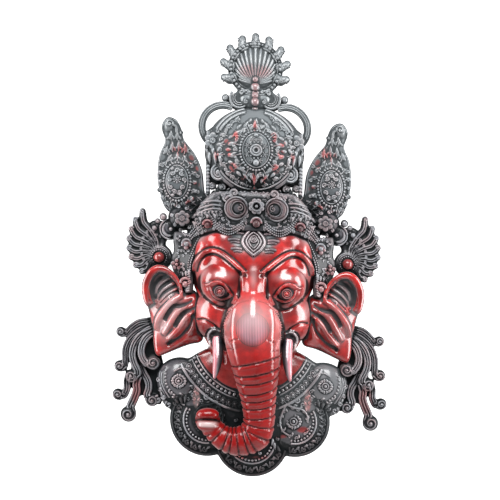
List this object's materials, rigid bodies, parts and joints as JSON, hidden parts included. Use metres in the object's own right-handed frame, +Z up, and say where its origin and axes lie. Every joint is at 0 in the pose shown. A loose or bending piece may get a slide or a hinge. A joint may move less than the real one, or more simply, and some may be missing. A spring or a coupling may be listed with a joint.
{
  "type": "wall mask",
  "caption": "Wall mask of an elephant-headed figure with a tall ornate crown, wide ears, tusks, a curled trunk, side scrolls and a lobed breastplate; flat hollowed back.",
  "frame": {"origin": "on the flat back that bears on the wall, behind the band where the crown meets the forehead", "axes": "+Z up the crown, +Y into the wall, so that the face looks along -Y; +X to the viewer's right"},
  "size_m": [0.3705, 0.1056, 0.6085],
  "materials": {
    "lacquered_casting": "red lacquer over black, polished, the crown and breastplate black with red rubbed off the high spots"
  },
  "bodies": {
    "root": {"mask": "lacquered_casting"}
  },
  "joints": []
}
